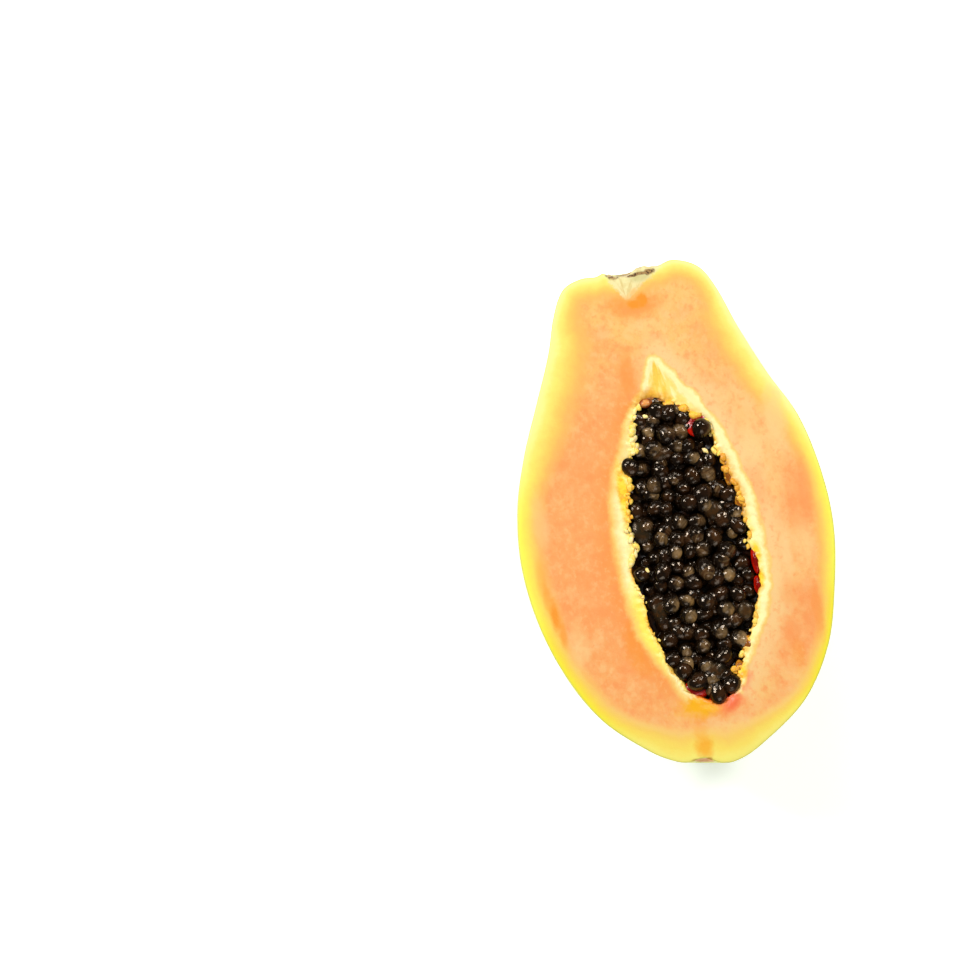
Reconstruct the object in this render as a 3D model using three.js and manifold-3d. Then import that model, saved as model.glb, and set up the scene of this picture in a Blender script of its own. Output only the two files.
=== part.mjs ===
// Half a papaya, cut lengthwise, lying on its skin with the cut face up and its seeds in place.
// Millimetres, +Z up. +Y runs along the fruit towards the stalk end, +X across the cut face.
// The origin is the middle of the small flat spot that the fruit rests on.

import * as THREE from "three";
import { mergeVertices } from "three/addons/utils/BufferGeometryUtils.js";
import Module from "manifold-3d";

const wasm = await Module();
wasm.setup();

// Stations run along the fruit's own axis, from 0 at the blossom end to about 175 at the stalk end.
// Each row is one place on the cut outline: the left side's station and width, then the right side's.
// Widths are measured from the axis that joins the stalk scar to the blossom scar.
const SKIN_OUTLINE = [
  [1.0, 0, 1.0, 0],
  [0.9, 2.0, 0.3, 2.0],
  [0.3, 5.2, -1.5, 5.6],
  [1.4, 10.0, -1.6, 11.2],
  [6.4, 18.6, 2.6, 20.6],
  [19.3, 32.9, 15.4, 37.8],
  [37.0, 43.3, 33.0, 49.0],
  [56.5, 49.8, 53.0, 54.6],
  [77.0, 52.4, 74.0, 57.7],
  [96.5, 50.7, 94.0, 56.5],
  [114.5, 45.6, 114.0, 51.8],
  [131.0, 38.8, 131.0, 43.3],
  [148.0, 31.9, 148.0, 36.0],
  [161.5, 27.8, 163.0, 30.6],
  [170.4, 23.2, 171.6, 25.4],
  [173.4, 16.6, 175.3, 17.2],
  [173.4, 11.0, 174.1, 11.4],
  [174.2, 8.2, 174.2, 8.4],
  [173.0, 5.6, 173.4, 5.2],
  [171.8, 0, 171.8, 0],
];
// Depth of the round back as a share of its half width, at the blossom end and at the stalk end.
const BACK_DEPTH_RATIOS = [0.885, 1.095];
const FRUIT_LENGTH = 175;
const LOBE_COUNT = 5; // shallow lengthwise ridges round a whole fruit
const LOBE_HEIGHT_RATIO = 0.014;

// The seed hollow: station, left edge and right edge on the cut face.
const HOLLOW_OUTLINE = [
  [19.0, 8.6, 8.6],
  [21.6, 3.0, 13.6],
  [29.0, -3.1, 18.4],
  [44.0, -9.9, 25.8],
  [60.0, -13.6, 30.2],
  [76.0, -14.8, 30.6],
  [92.0, -14.2, 27.2],
  [106.0, -11.6, 22.8],
  [115.5, -9.0, 19.6],
  [122.0, -7.0, 14.6],
  [127.5, -4.6, 8.0],
  [131.0, 1.0, 1.0],
];
const HOLLOW_DEPTH_RATIO = 1.02; // the hollow's depth, as a share of its half width
const HOLLOW_RIB_RATIO = 0.05; // five seed-bearing ribs run down the hollow's wall

// The half is set down with its weight over a spot that its skin is flattened on.
const REST_STATION = 85.4; // station above the resting spot
const REST_OFFSET = 2.7; // the spot lies this far to the right of the fruit's axis
const SPOT_SINK = 0.9; // depth of skin that the flat spot takes off the round back

// Seeds stand half out of the dark pulp that they grow in.
const SEED_RADIUS = 3.25;
const SEED_STRETCH = 1.18; // a seed's length, as a share of its width
const SEED_STATIONS = [23.5, 126.5]; // first and last row of seeds
const SEED_ROW_STEP = 5.4;
const SEED_STEP = 6.2; // between neighbours in a row
const SEED_SCATTER = 3.2; // how far a seed may lie off its place, all told
const SEED_HEIGHT = -3.2; // middle of a seed, from the cut face
const SEED_HEIGHT_SPREAD = 3.4;
const SEED_DOME = 1.1; // the heap's middle stands this much above its mean height
const SEED_WALL_CLEARANCE = 1.6; // between a seed and the hollow's edge
const SEED_TILT = Math.PI / 2; // the range that a seed leans through
const PULP_DROP = 3.9; // the pulp's surface lies this far under the cut face
const PIECE_GAP = 0.35; // air left between the seed mass and the flesh
const RANDOM_START = 20611;

// The repeatable draw's factor, step and range.
const DRAW_FACTOR = 1664525;
const DRAW_STEP = 1013904223;
const DRAW_RANGE = 2 ** 32;

// Colour and roughness of the cut flesh and of the seeds.
const FLESH_FINISH = [0xf9a05c, 0.5];
const SEED_FINISH = [0x2a1f18, 0.25];

// How finely the skin and the hollow are drawn.
const SKIN_ROUND = 56;
const SKIN_LONG = 52;
const HOLLOW_ROUND = 28;
const HOLLOW_LONG = 28;
const SMALLEST_HALF_WIDTH = 0.05; // keeps a narrowed hollow's end open as a ring
const MERGE_DISTANCE = 1e-3;
const SEARCH_STEPS = 24; // halvings that find a station on the hollow

// Larger than the fruit on every side.
const CUTTER_SIZE = 400;

// A repeatable draw of numbers from 0 to 1.
function randomSource(start) {
  let state = start;
  return () => {
    state = (Math.imul(state, DRAW_FACTOR) + DRAW_STEP) >>> 0;
    return state / DRAW_RANGE;
  };
}

// A closed three.js geometry as a solid that can be joined and cut.
function solidFrom(geometry) {
  const bare = geometry.clone();
  bare.deleteAttribute("normal");
  bare.deleteAttribute("uv");
  const merged = mergeVertices(bare, MERGE_DISTANCE);
  return new wasm.Manifold(
    new wasm.Mesh({
      numProp: 3,
      vertProperties: merged.attributes.position.array,
      triVerts: new Uint32Array(merged.index.array),
    }),
  );
}

// A solid as a three.js geometry again.
function geometryFrom(solid) {
  const mesh = solid.getMesh();
  const geometry = new THREE.BufferGeometry();
  geometry.setAttribute(
    "position",
    new THREE.BufferAttribute(mesh.vertProperties, 3),
  );
  geometry.setIndex(new THREE.BufferAttribute(mesh.triVerts, 1));
  geometry.computeVertexNormals();
  return geometry;
}

// The largest body alone: gaps sealed inside it are filled, and loose scraps are dropped.
function outerBody(solid) {
  const bodies = solid.decompose();
  return bodies.reduce((a, b) => (a.volume() >= b.volume() ? a : b));
}

// A box that fills everything above or below a height.
function halfSpace(height, isAbove) {
  const box = new THREE.BoxGeometry(CUTTER_SIZE, CUTTER_SIZE, CUTTER_SIZE);
  const middle = height + (isAbove ? CUTTER_SIZE / 2 : -CUTTER_SIZE / 2);
  box.translate(0, 0, middle);
  return solidFrom(box);
}

// A turned form along Y whose every ring is then pushed out to its own section.
// place(share, angle) gives a point: share runs along the outline, angle is 0 at the back.
function turnedForm(rings, around, shareAt, place) {
  const guide = Array.from({ length: rings + 1 }, (_, ring) => {
    const isPole = ring === 0 || ring === rings;
    return new THREE.Vector2(isPole ? 0 : 1, ring);
  });
  const geometry = new THREE.LatheGeometry(guide, around);
  const position = geometry.getAttribute("position");
  for (let turn = 0; turn <= around; turn += 1) {
    const angle = ((turn % around) / around) * 2 * Math.PI;
    for (let ring = 0; ring <= rings; ring += 1) {
      const point = place(shareAt(ring / rings), angle);
      const index = turn * (rings + 1) + ring;
      position.setXYZ(index, point.x, point.y, point.z);
    }
  }
  return solidFrom(geometry);
}

// The whole fruit's skin, with its cut plane at Z 0.
function wholeFruit() {
  const side = (station, width) =>
    new THREE.SplineCurve(
      SKIN_OUTLINE.map((row) => new THREE.Vector2(row[width], row[station])),
    );
  const left = side(0, 1);
  const right = side(2, 3);
  const mean = new THREE.SplineCurve(
    SKIN_OUTLINE.map(
      (row) =>
        new THREE.Vector2((row[1] + row[3]) / 2, (row[0] + row[2]) / 2),
    ),
  );
  return turnedForm(
    SKIN_LONG,
    SKIN_ROUND,
    (share) => mean.getUtoTmapping(share),
    (share, angle) => {
      const across = -Math.sin(angle);
      const toRight = (1 + across) / 2;
      const outline = left.getPoint(share).lerp(right.getPoint(share), toRight);
      const fade = Math.sin(Math.PI * share);
      const lobe =
        1 + LOBE_HEIGHT_RATIO * fade * Math.cos(LOBE_COUNT * angle);
      const width = Math.max(outline.x, 0) * lobe;
      const depthRatio = THREE.MathUtils.lerp(
        ...BACK_DEPTH_RATIOS,
        outline.y / FRUIT_LENGTH,
      );
      return new THREE.Vector3(
        width * across,
        outline.y,
        -width * Math.cos(angle) * depthRatio,
      );
    },
  );
}

// The seed hollow's section at a share of its length: its station, middle and half width.
const hollowEdge = (column) =>
  new THREE.SplineCurve(
    HOLLOW_OUTLINE.map((row) => new THREE.Vector2(row[column], row[0])),
  );
const hollowLeft = hollowEdge(1);
const hollowRight = hollowEdge(2);
function hollowSection(share) {
  const left = hollowLeft.getPoint(share);
  const right = hollowRight.getPoint(share);
  return {
    station: left.y,
    middle: (left.x + right.x) / 2,
    half: (right.x - left.x) / 2,
  };
}

// The spindle-shaped hollow, as one solid, drawn in by a clearance all round.
function hollowForm(clearance) {
  return turnedForm(
    HOLLOW_LONG,
    HOLLOW_ROUND,
    (share) => share,
    (share, angle) => {
      const section = hollowSection(share);
      const isPole = share === 0 || share === 1;
      const narrowed = Math.max(section.half - clearance, SMALLEST_HALF_WIDTH);
      const half = isPole ? 0 : narrowed;
      const rib = 1 - HOLLOW_RIB_RATIO * Math.cos(LOBE_COUNT * angle);
      return new THREE.Vector3(
        section.middle - half * Math.sin(angle),
        section.station,
        -half * rib * Math.cos(angle) * HOLLOW_DEPTH_RATIO,
      );
    },
  );
}

// The hollow's middle and half width at a station.
function hollowAt(station) {
  let low = 0;
  let high = 1;
  for (let step = 0; step < SEARCH_STEPS; step += 1) {
    const middle = (low + high) / 2;
    if (hollowSection(middle).station < station) low = middle;
    else high = middle;
  }
  return hollowSection((low + high) / 2);
}

// Where each seed sits: staggered rows across the hollow, with every seed off its place at random.
function seedPlaces() {
  const draw = randomSource(RANDOM_START);
  const places = [];
  const [first, last] = SEED_STATIONS;
  const rows = Math.round((last - first) / SEED_ROW_STEP);
  for (let row = 0; row <= rows; row += 1) {
    const rowStation = first + ((last - first) * row) / rows;
    const { middle, half } = hollowAt(rowStation);
    const room = Math.max(half - SEED_RADIUS - SEED_WALL_CLEARANCE, 0);
    const count = Math.floor((2 * room) / SEED_STEP) + 1;
    const stagger = count > 1 ? ((row % 2) - 0.5) / 2 : 0;
    for (let seed = 0; seed < count; seed += 1) {
      const place = SEED_STEP * (seed - (count - 1) / 2 + stagger);
      const scattered = place + SEED_SCATTER * (draw() - 0.5);
      const offset = THREE.MathUtils.clamp(scattered, -room, room);
      const share = room > 0 ? offset / room : 0;
      places.push({
        across: middle + offset,
        station: rowStation + SEED_SCATTER * (draw() - 0.5),
        height:
          SEED_HEIGHT +
          SEED_HEIGHT_SPREAD * (draw() - 0.5) +
          SEED_DOME * (1 - 2 * share * share),
        turn: draw(),
        tilt: draw(),
      });
    }
  }
  return places;
}

// One seed: a slightly long berry with few sides, turned its own way.
function seedSolid({ across, station, height, turn, tilt }) {
  const seed = new THREE.OctahedronGeometry(SEED_RADIUS, 1);
  seed.scale(1, SEED_STRETCH, 1);
  seed.rotateX((tilt - 0.5) * SEED_TILT);
  seed.rotateZ(turn * 2 * Math.PI);
  seed.translate(across, station, height);
  return solidFrom(seed);
}

const material = (colour, roughness) =>
  new THREE.MeshStandardMaterial({ color: colour, roughness, metalness: 0 });

// Skin and flesh grew as one piece: the fruit, halved, hollowed and flattened where it rests.
function makeFlesh(cutHeight) {
  const half = wholeFruit().subtract(halfSpace(0, true));
  const hollowed = half.subtract(hollowForm(0));
  const rested = hollowed.subtract(halfSpace(-cutHeight, false));
  const mesh = new THREE.Mesh(geometryFrom(rested), material(...FLESH_FINISH));
  mesh.name = "papaya_half";
  return mesh;
}

// The seeds and the pulp between them hold together as one dark mass.
function makeSeeds() {
  const pulp = hollowForm(PIECE_GAP).subtract(halfSpace(-PULP_DROP, true));
  const seeds = seedPlaces().map(seedSolid);
  const mass = wasm.Manifold.union([pulp, ...seeds]);
  const fitted = mass.intersect(hollowForm(PIECE_GAP));
  const mesh = new THREE.Mesh(
    geometryFrom(outerBody(fitted)),
    material(...SEED_FINISH),
  );
  mesh.name = "seeds";
  return mesh;
}

// The round back's depth decides how high the cut face lies.
const backDepth = -wholeFruit().boundingBox().min[2];
const cutHeight = backDepth - SPOT_SINK;

const papaya = new THREE.Group();
papaya.add(makeFlesh(cutHeight), makeSeeds());
papaya.position.set(-REST_OFFSET, -REST_STATION, cutHeight);

export default papaya;
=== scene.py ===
import math

import bpy
import numpy as np
from mathutils import Matrix, Vector, noise
from mathutils.kdtree import KDTree


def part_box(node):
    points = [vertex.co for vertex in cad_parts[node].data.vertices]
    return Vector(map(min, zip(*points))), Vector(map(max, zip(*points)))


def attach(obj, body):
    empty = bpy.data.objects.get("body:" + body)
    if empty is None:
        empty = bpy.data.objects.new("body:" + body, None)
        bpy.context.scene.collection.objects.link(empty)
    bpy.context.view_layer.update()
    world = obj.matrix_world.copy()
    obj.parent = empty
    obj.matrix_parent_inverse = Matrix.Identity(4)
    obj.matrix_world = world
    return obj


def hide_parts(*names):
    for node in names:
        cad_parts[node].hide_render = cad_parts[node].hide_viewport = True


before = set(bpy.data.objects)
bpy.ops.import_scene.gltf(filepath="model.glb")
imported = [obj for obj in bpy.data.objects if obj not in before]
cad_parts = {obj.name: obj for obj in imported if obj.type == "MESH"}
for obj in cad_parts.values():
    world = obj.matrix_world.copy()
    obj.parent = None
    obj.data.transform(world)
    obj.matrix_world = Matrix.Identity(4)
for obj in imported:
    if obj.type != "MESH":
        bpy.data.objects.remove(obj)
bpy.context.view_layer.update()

# The halved fruit
# A ripe papaya cut lengthwise: thin waxy skin, a lemon-yellow outer layer, salmon flesh and a cream
# lining round the seed hollow. It grew in one piece, so it is one closed mesh, and it lies on its
# back, on a small spot where the skin is pressed flat.
MM = 0.001

# Each row is one place on the cut outline: the left side's station and width, then the right side's.
# Stations run from 0 at the blossom end to about 175 at the stalk end, and widths from the axis, in mm.
SKIN_OUTLINE = [
    (1.0, 0, 1.0, 0),
    (0.9, 2.0, 0.3, 2.0),
    (0.3, 5.2, -1.5, 5.6),
    (1.4, 10.0, -1.6, 11.2),
    (6.4, 18.6, 2.6, 20.6),
    (19.3, 32.9, 15.4, 37.8),
    (37.0, 43.3, 33.0, 49.0),
    (56.5, 49.8, 53.0, 54.6),
    (77.0, 52.4, 74.0, 57.7),
    (96.5, 50.7, 94.0, 56.5),
    (114.5, 45.6, 114.0, 51.8),
    (131.0, 38.8, 131.0, 43.3),
    (148.0, 31.9, 148.0, 36.0),
    (161.5, 27.8, 163.0, 30.6),
    (170.4, 23.2, 171.6, 25.4),
    (173.4, 16.6, 175.3, 17.2),
    (173.4, 11.0, 174.1, 11.4),
    (174.2, 8.2, 174.2, 8.4),
    (173.0, 5.6, 173.4, 5.2),
    (171.8, 0, 171.8, 0),
]
BACK_DEPTH_RATIOS = (0.885, 1.095)
FRUIT_LENGTH = 175
LOBE_COUNT = 5
LOBE_HEIGHT_RATIO = 0.014

# The seed hollow: station, left edge and right edge on the cut face.
HOLLOW_OUTLINE = [
    (19.0, 8.6, 8.6),
    (21.6, 3.0, 13.6),
    (29.0, -3.1, 18.4),
    (44.0, -9.9, 25.8),
    (60.0, -13.6, 30.2),
    (76.0, -14.8, 30.6),
    (92.0, -14.2, 27.2),
    (106.0, -11.6, 22.8),
    (115.5, -9.0, 19.6),
    (122.0, -7.0, 14.6),
    (127.5, -4.6, 8.0),
    (131.0, 1.0, 1.0),
]
HOLLOW_DEPTH_RATIO = 1.02
HOLLOW_RIB_RATIO = 0.05

# The outer edge of the cream lining: station, left edge and right edge.
LINING_OUTLINE = [
    (15.0, 8.0, 8.0),
    (17.0, 2.0, 13.0),
    (22.0, -3.0, 16.6),
    (30.0, -7.4, 20.7),
    (37.0, -11.4, 24.9),
    (46.6, -16.2, 30.6),
    (57.5, -18.0, 33.2),
    (66.6, -19.2, 34.0),
    (75.0, -19.6, 33.9),
    (84.4, -19.5, 33.0),
    (94.8, -18.4, 31.0),
    (104.9, -15.6, 28.0),
    (115.0, -11.4, 24.4),
    (122.0, -8.9, 20.8),
    (126.0, -7.4, 18.6),
    (130.0, -4.4, 15.8),
    (132.5, -1.6, 13.6),
    (136.0, -0.2, 11.2),
    (139.0, 0.9, 8.6),
    (141.4, 2.1, 6.8),
    (143.0, 3.5, 5.4),
]

# The torn tissue's edge over the hollow: station, left edge and right edge.
TORN_EDGE = [
    (19.0, 8.2, 9.0),
    (20.5, 5.5, 11.5),
    (22.5, 1.6, 15.0),
    (25.0, -2.5, 16.6),
    (30.0, -3.9, 16.6),
    (32.0, -6.3, 19.0),
    (38.0, -7.8, 20.3),
    (41.0, -8.7, 22.8),
    (45.0, -10.1, 24.7),
    (49.0, -11.6, 25.6),
    (53.0, -11.5, 27.1),
    (57.0, -11.9, 29.0),
    (61.0, -12.3, 29.3),
    (65.0, -13.9, 29.6),
    (69.0, -15.0, 28.9),
    (73.0, -13.5, 27.0),
    (77.0, -12.0, 28.2),
    (80.0, -12.7, 27.4),
    (83.0, -13.9, 26.7),
    (86.0, -13.1, 27.4),
    (89.0, -12.0, 26.4),
    (93.0, -12.2, 26.0),
    (96.0, -11.3, 24.2),
    (99.0, -9.5, 23.3),
    (102.0, -10.5, 23.5),
    (105.0, -11.7, 21.9),
    (108.0, -9.6, 21.2),
    (110.0, -6.9, 21.3),
    (116.0, -6.8, 20.5),
    (118.0, -5.9, 18.9),
    (120.0, -6.2, 15.6),
    (122.0, -5.5, 12.7),
    (124.0, -4.5, 9.4),
    (126.0, -2.4, 6.2),
    (127.8, 0.5, 1.5),
]
FLAME_TIP = (4.4, 147.0)  # offset and station that the fibres above the hollow run down from

# The origin lies under these: station and offset from the axis. The cut face's height is the frame's.
REST_STATION = 85.4
REST_OFFSET = 2.7
CUT_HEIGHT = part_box("papaya_half")[1].z / MM

ARC_STEPS = 200
ALONG_STEPS = 300
BACK_STEPS = 100
FACE_RINGS = 72
WALL_STEPS = 28
RING_EVENNESS = 0.5
EDGE_STEPS = 8 * ALONG_STEPS
SEAM_GAP = 2e-6
CUT_TOLERANCE = 1e-3
SHARP_EDGE = math.radians(40)

# How far the knife, the wall's torn tissue and the cork at each end move the surface, in mm.
RIM_ROUNDING = (0.28, 0.45)
FACE_WAVES = ((0.30, 26.0), (0.05, 3.0))
FACE_WAVES_START = 6.0
BACK_WAVES = ((0.55, 21.0), (0.12, 5.5))
BACK_WAVES_START = 8.0
LIP_REACH = 2.2
TOP_LIP = (3.2, 124.0, 131.0)
TEETH_WAVES = ((0.7, 2.0), (0.45, 0.9))
TEETH_REACH = 0.8
TEETH_NARROW = 8.0
LIP_DROP = 0.7
CRUMBS = (0.5, 1.5)
CRUMB_REACH = 1.6
LINING_DIP = (0.5, 4.0)
FLAME_DIP = (0.35, 0.6, 5.0)
FLAME_STATIONS = (108.0, 124.0)
FIBRE_HEIGHT = 0.2
FIBRE_TURN = 0.16
FIBRE_RUN = 9.0
CORK_LUMPS = (0.9, 1.5)
CORK_RING = (6.4, 1.8)
CORK_STATION = 169.5
CORK_FADE = 2.0
BLOSSOM_LUMPS = (0.5, 1.4)
BLOSSOM_REACH = 4.2
BLOSSOM_STATION = 6.0
SCAR_RIDGE = (1.4, 3.9, 2.9, 5.0)
SCAR_RIDGE_STATIONS = (168.0, 172.0)
DEEP_IN = 30.0  # what the skin and the hollow's wall keep as their depth under the skin


def between(ends, share):
    """The value at this share of the way from the first end to the last."""
    first, last = ends
    return first + (last - first) * share


def smooth_points(rows, shares):
    """Points at these shares of a smooth curve that passes through every row."""
    rows = np.asarray(rows, float)
    last = len(rows) - 1
    run = shares * last
    index = np.minimum(run.astype(int), last)
    step = (run - index)[:, None]
    before, start = rows[np.maximum(index - 1, 0)], rows[index]
    end, after = rows[np.minimum(index + 1, last)], rows[np.minimum(index + 2, last)]
    leaving = (end - before) / 2
    arriving = (after - start) / 2
    cubic = 2 * start - 2 * end + leaving + arriving
    square = 3 * end - 3 * start - 2 * leaving - arriving
    return ((cubic * step + square) * step + leaving) * step + start


def even_shares(shares):
    """Shares of the skin outline's curve at even steps along its length."""
    fine = np.linspace(0, 1, ARC_STEPS + 1)
    mean = [((row[0] + row[2]) / 2, (row[1] + row[3]) / 2) for row in SKIN_OUTLINE]
    steps = np.linalg.norm(np.diff(smooth_points(mean, fine), axis=0), axis=1)
    lengths = np.concatenate(([0], np.cumsum(steps)))
    return np.interp(shares * lengths[-1], lengths, fine)


def skin_points(shares, angles):
    """Points of the skin: offset, station and height over the cut. Angle 0 is the back."""
    across = -np.sin(angles)
    to_right = ((1 + across) / 2)[:, None]
    left = smooth_points([row[:2] for row in SKIN_OUTLINE], shares)
    right = smooth_points([row[2:] for row in SKIN_OUTLINE], shares)
    station, width = (left + (right - left) * to_right).T
    lobe = 1 + LOBE_HEIGHT_RATIO * np.sin(np.pi * shares) * np.cos(LOBE_COUNT * angles)
    half = np.maximum(width, 0) * lobe
    depth = between(BACK_DEPTH_RATIOS, station / FRUIT_LENGTH)
    return np.stack([half * across, station, -half * np.cos(angles) * depth], axis=1)


def hollow_sections(shares):
    """The hollow's station, middle and half width at these shares of its length."""
    left = smooth_points([(row[0], row[1]) for row in HOLLOW_OUTLINE], shares)
    right = smooth_points([(row[0], row[2]) for row in HOLLOW_OUTLINE], shares)
    half = np.maximum((right[:, 1] - left[:, 1]) / 2, 0)
    return left[:, 0], (left[:, 1] + right[:, 1]) / 2, half


def torn_edge(stations):
    """The torn tissue's left and right edge at these stations."""
    rows = np.array(TORN_EDGE)
    return [np.interp(stations, rows[:, 0], rows[:, side]) for side in (1, 2)]


def hollow_points(shares, angles):
    """Points of the hollow's wall. Angle 0 is its bottom, and a quarter turn is its edge."""
    station, middle, half = hollow_sections(shares)
    rib = 1 - HOLLOW_RIB_RATIO * np.cos(LOBE_COUNT * angles)
    depth = half * rib * np.cos(angles) * HOLLOW_DEPTH_RATIO
    return np.stack([middle - half * np.sin(angles), station, -depth], axis=1)


def row_frame(points):
    """Points measured in mm from the fruit's own axis, as places in the row frame in metres."""
    return (points + [-REST_OFFSET, -REST_STATION, CUT_HEIGHT]) * MM


def places_of(piece):
    """Every vertex of a piece as rows of X, Y and Z."""
    flat = np.empty(len(piece.data.vertices) * 3)
    piece.data.vertices.foreach_get("co", flat)
    return flat.reshape(-1, 3)


def put_places(piece, places):
    """Moves every vertex of a piece to its row of X, Y and Z."""
    piece.data.vertices.foreach_set("co", np.ascontiguousarray(places, float).ravel())
    piece.data.update()


def select_only(*pieces):
    """Selects these pieces alone, the first one active."""
    bpy.ops.object.select_all(action="DESELECT")
    for piece in pieces:
        piece.select_set(True)
    bpy.context.view_layer.objects.active = pieces[0]


def wrapped_grid(name, columns, rows, place):
    """A grid of quads, each corner carried to its place by its shares of the grid's two sides."""
    bpy.ops.object.select_all(action="DESELECT")
    bpy.ops.mesh.primitive_grid_add(x_subdivisions=columns, y_subdivisions=rows, size=1)
    sheet = bpy.context.object
    sheet.name = name
    shares = np.clip(places_of(sheet)[:, :2] + 0.5, 0, 1)
    put_places(sheet, row_frame(place(shares[:, 0], shares[:, 1])))
    return sheet


def joined(name, pieces):
    """Several pieces as one closed piece, its seams merged and its faces turned outwards."""
    select_only(*pieces)
    if len(pieces) > 1:
        bpy.ops.object.join()
    whole = bpy.context.object
    whole.name = name
    bpy.ops.object.mode_set(mode="EDIT")
    bpy.ops.mesh.select_all(action="SELECT")
    bpy.ops.mesh.remove_doubles(threshold=SEAM_GAP)
    bpy.ops.mesh.normals_make_consistent(inside=False)
    bpy.ops.object.mode_set(mode="OBJECT")
    return whole


def waves(points, size, offset=0.0):
    """Soft noise from -1 to 1 at each point, with waves of about this size."""
    return np.array([noise.noise(Vector(point) / size + Vector((offset, 0, 0))) for point in points])


def paint(piece, name, values):
    """Keeps a number for each vertex, for a finish to read."""
    layer = piece.data.attributes.new(name, "FLOAT", "POINT")
    layer.data.foreach_set("value", np.ascontiguousarray(values, np.float32))


def half_turn(shares):
    """A share of the way round the back, from the right rim to the left rim, as an angle."""
    return (shares - 0.5) * np.pi


def eased(shares):
    """Shares from 0 to 1 that lie closer together near both ends."""
    return (1 - np.cos(np.pi * shares)) / 2


def loop_sides(shares):
    """A share of the way round the cut outline: up the right side, then down the left one."""
    is_right = shares < 0.5
    along = np.where(is_right, 2 * shares, 2 - 2 * shares)
    return along, np.where(is_right, -np.pi / 2, np.pi / 2)


def face_points(around, inwards):
    """The cut face, from the skin to the hollow's edge, with finer rings near both."""
    along, angles = loop_sides(around)
    outer = skin_points(even_shares(along), angles)
    inner = hollow_points(along, angles)
    ring = (RING_EVENNESS * inwards + (1 - RING_EVENNESS) * eased(inwards))[:, None]
    return outer + (inner - outer) * ring


def edge_tree(points):
    """A search tree over the points of an edge."""
    tree = KDTree(len(points))
    for index, point in enumerate(points):
        tree.insert(point, index)
    tree.balance()
    return tree


def distances(tree, points):
    """How far each point is from the nearest point of an edge."""
    return np.array([tree.find(point)[2] for point in points])


rind = wrapped_grid(
    "rind",
    ALONG_STEPS,
    BACK_STEPS,
    lambda along, round_back: skin_points(even_shares(along), half_turn(round_back)),
)
cut_face = wrapped_grid("cut_face", 2 * ALONG_STEPS, FACE_RINGS, face_points)
hollow_wall = wrapped_grid(
    "hollow_wall",
    ALONG_STEPS,
    WALL_STEPS,
    lambda along, round_wall: hollow_points(along, half_turn(eased(round_wall))),
)


class Wire:
    """An output of a finish's node. Sums on it are worked out by Math nodes."""

    def __init__(self, finish, socket):
        self.finish = finish
        self.socket = socket

    def sum_of(self, operation, *terms):
        return self.finish.node("ShaderNodeMath", {"operation": operation}, dict(enumerate(terms)))

    def __add__(self, other):
        return self.sum_of("ADD", self, other)

    def __radd__(self, other):
        return self.sum_of("ADD", other, self)

    def __sub__(self, other):
        return self.sum_of("SUBTRACT", self, other)

    def __rsub__(self, other):
        return self.sum_of("SUBTRACT", other, self)

    def __mul__(self, other):
        return self.sum_of("MULTIPLY", self, other)

    def __rmul__(self, other):
        return self.sum_of("MULTIPLY", other, self)

    def __truediv__(self, other):
        return self.sum_of("DIVIDE", self, other)

    def __pow__(self, other):
        return self.sum_of("POWER", self, other)

    def __abs__(self):
        return self.sum_of("ABSOLUTE", self)


GRAIN_TURN = (0.7, 0.5, 0.3)  # turns every pattern off the piece's own axes, in radians


class Finish:
    """A material that is put together node by node, with one Principled surface."""

    def __init__(self, name, surface):
        self.material = bpy.data.materials.new(name)
        self.material.use_nodes = True
        self.tree = self.material.node_tree
        self.surface = self.tree.nodes["Principled BSDF"]
        for socket, value in surface.items():
            self.surface.inputs[socket].default_value = value
        self.place = self.node("ShaderNodeTexCoord", output="Object")
        self.turned = self.stretched((1, 1, 1))

    def node(self, kind, settings=None, sockets=None, output=0):
        made = self.tree.nodes.new(kind)
        for name, value in (settings or {}).items():
            setattr(made, name, value)
        for key, value in (sockets or {}).items():
            self.feed(made.inputs[key], value)
        return Wire(self, made.outputs[output])

    def feed(self, socket, value):
        if isinstance(value, Wire):
            self.tree.links.new(value.socket, socket)
        else:
            socket.default_value = value

    def wear(self, socket, wire):
        self.feed(self.surface.inputs[socket], wire)

    def number(self, name):
        return self.node("ShaderNodeAttribute", {"attribute_name": name}, output="Fac")

    def axes(self):
        parts = self.node("ShaderNodeSeparateXYZ", sockets={0: self.place}).socket.node
        return [Wire(self, socket) for socket in parts.outputs]

    def grain(self, size, detail=2.0, roughness=0.5, place=None):
        """Cloudy noise from 0 to 1, with clouds of about this size in mm."""
        sockets = {"Vector": place or self.turned, "Scale": 1 / (size * MM)}
        sockets.update({"Detail": detail, "Roughness": roughness})
        return self.node("ShaderNodeTexNoise", sockets=sockets)

    def rise(self, value, low, high):
        """0 where value is under low, 1 where it is over high, and smooth between."""
        settings = {"interpolation_type": "SMOOTHSTEP"}
        return self.node("ShaderNodeMapRange", settings, {0: value, 1: low, 2: high})

    def stretched(self, scale):
        """The piece's own coordinates, stretched so that a pattern on them runs one way."""
        sockets = {"Vector": self.place, "Scale": scale, "Rotation": GRAIN_TURN}
        return self.node("ShaderNodeMapping", sockets=sockets)

    def blend(self, first, second, share, kind="MIX"):
        """The second colour over the first one, by this share."""
        settings = {"data_type": "RGBA", "blend_type": kind}
        return self.node("ShaderNodeMix", settings, {0: share, 6: first, 7: second}, output=2)

    def bump(self, height, strength, depth):
        """A small relief on the surface, its full height in mm."""
        sockets = {"Height": height, "Strength": strength, "Distance": depth * MM}
        self.wear("Normal", self.node("ShaderNodeBump", sockets=sockets))


STUDIO_GAIN = 1.24  # how much brighter than its own colour the studio's light shows a surface


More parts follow.
